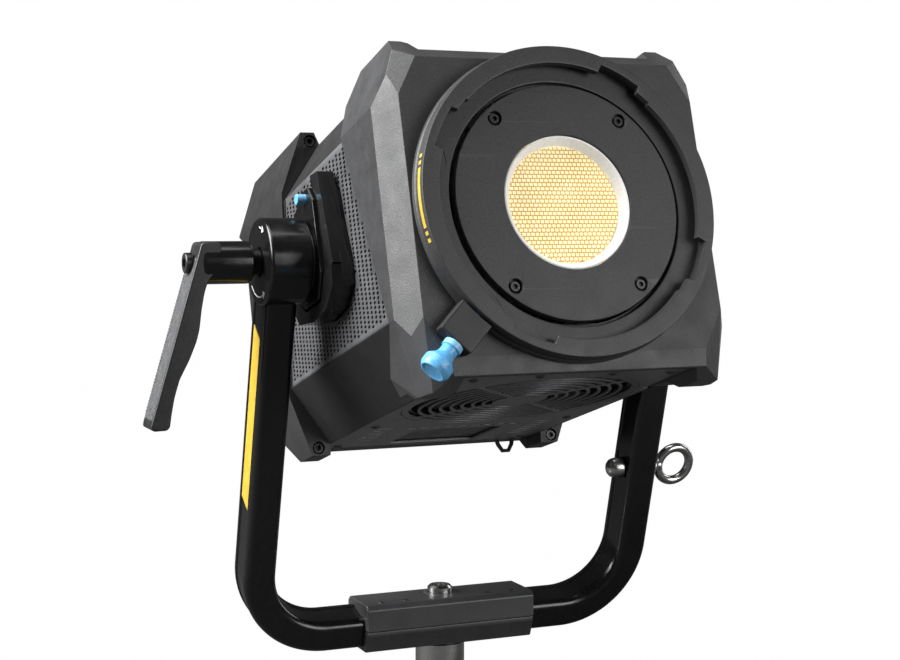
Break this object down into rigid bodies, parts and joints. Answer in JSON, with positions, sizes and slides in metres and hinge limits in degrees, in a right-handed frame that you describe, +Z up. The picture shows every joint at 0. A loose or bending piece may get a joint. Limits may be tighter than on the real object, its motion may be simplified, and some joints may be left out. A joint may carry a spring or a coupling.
{
  "type": "spotlight",
  "caption": "Studio LED spotlight head with a bayonet accessory ring, tilting in a U-shaped yoke with a clamping lever, on a steel spigot.",
  "frame": {"origin": "centre of the spigot's lower end face", "axes": "+Z up along the spigot, -Y the side that the lamp faces, +X to the viewer's right when facing the lamp"},
  "size_m": [0.341, 0.3025, 0.4121],
  "materials": {
    "charcoal": "fine textured charcoal powder coat",
    "gloss_black": "glossy black enamel",
    "sheet": "satin dark grey sheet metal",
    "steel": "turned stainless steel",
    "black_steel": "black oxide",
    "aluminium": "plain, satin",
    "bronze": "sintered bronze",
    "white": "white, semi-gloss",
    "phosphor": "yellow phosphor under clear silicone",
    "blue": "blue anodised",
    "board": "green solder mask",
    "black_plastic": "black, fine grain"
  },
  "bodies": {
    "yoke": {"spigot": "steel", "spigot_bolt": "steel", "bracket_saddle": "gloss_black", "bracket_base": "gloss_black", "yoke_tube": "gloss_black", "eyebolt": "steel", "eyebolt_nut": "steel", "tilt_barrel_left": "gloss_black", "tilt_barrel_right": "gloss_black", "tilt_bush_left": "bronze", "tilt_bush_right": "bronze", "pivot_cap": "black_steel"},
    "head": {"bay_cover": "black_plastic", "body_shell": "charcoal", "control_panel": "black_plastic", "driver_board": "board", "fan_frame": "black_plastic", "fan_guard": "sheet", "friction_washer_left": "black_steel", "friction_washer_right": "black_steel", "front_bezel": "charcoal", "front_plate": "charcoal", "front_screw_lower_left": "black_steel", "front_screw_lower_right": "black_steel", "front_screw_upper_left": "black_steel", "front_screw_upper_right": "black_steel", "heat_sink": "aluminium", "led_carrier": "aluminium", "led_cob": "phosphor", "lock_housing": "charcoal", "lock_spring": "steel", "mount_ring": "charcoal", "power_inlet": "aluminium", "rear_cover": "charcoal", "rear_screw_lower_left": "black_steel", "rear_screw_lower_right": "black_steel", "rear_screw_upper_left": "black_steel", "rear_screw_upper_right": "black_steel", "receiver_left": "gloss_black", "receiver_right": "gloss_black", "reflector_ring": "white", "safety_loop": "black_steel", "shoe_left": "gloss_black", "shoe_right": "gloss_black", "side_frame_left": "aluminium", "side_frame_right": "aluminium", "side_mesh_left": "sheet", "side_mesh_right": "sheet", "tilt_shaft_left": "black_steel", "tilt_shaft_right": "black_steel", "underside_panel": "sheet"},
    "lever": {"tilt_lever": "gloss_black", "lever_bolt": "black_steel"},
    "release_left": {"release_button_left": "blue"},
    "release_right": {"release_button_right": "blue"},
    "lock": {"lock_pin": "blue"},
    "fan": {"fan_rotor": "black_plastic"},
    "knob": {"dimmer_knob": "black_plastic"},
    "menu": {"menu_button": "white"},
    "switch": {"power_switch": "black_plastic"}
  },
  "joints": [
    {"name": "head_tilt", "type": "hinge", "parent": "yoke", "child": "head", "pos_m": [0, -0.0585, 0.302], "axis": [-1, 0, 0], "range_deg": [-106.7, 73.3]},
    {"name": "lever_turn", "type": "hinge", "parent": "yoke", "child": "lever", "pos_m": [-0.14, -0.0585, 0.302], "axis": [-1, 0, 0], "range_deg": [0, 120]},
    {"name": "release_left_press", "type": "slide", "parent": "head", "child": "release_left", "axis": [1, 0, 0], "range_m": [0, 0.0025], "stiffness_N_per_m": 400, "springref_m": -0.001},
    {"name": "release_right_press", "type": "slide", "parent": "head", "child": "release_right", "axis": [-1, 0, 0], "range_m": [0, 0.0025], "stiffness_N_per_m": 400, "springref_m": -0.001},
    {"name": "lock_pull", "type": "slide", "parent": "head", "child": "lock", "axis": [-0.7071, -0.2032, -0.6773], "range_m": [0, 0.006], "stiffness_N_per_m": 600, "springref_m": -0.002},
    {"name": "fan_spin", "type": "hinge", "parent": "head", "child": "fan", "pos_m": [0, -0.10323, 0.24338], "axis": [0, 0.2874, 0.9578], "continuous": true},
    {"name": "knob_turn", "type": "hinge", "parent": "head", "child": "knob", "pos_m": [0.04, 0.08441, 0.28418], "axis": [0, 0.9578, -0.2874], "continuous": true},
    {"name": "menu_press", "type": "slide", "parent": "head", "child": "menu", "axis": [0, -0.9578, 0.2874], "range_m": [0, 0.001], "stiffness_N_per_m": 500, "springref_m": -0.001},
    {"name": "switch_rock", "type": "hinge", "parent": "head", "child": "switch", "pos_m": [0.036, 0.06602, 0.23959], "axis": [0, 0.2874, 0.9578], "range_deg": [0, 10]}
  ]
}
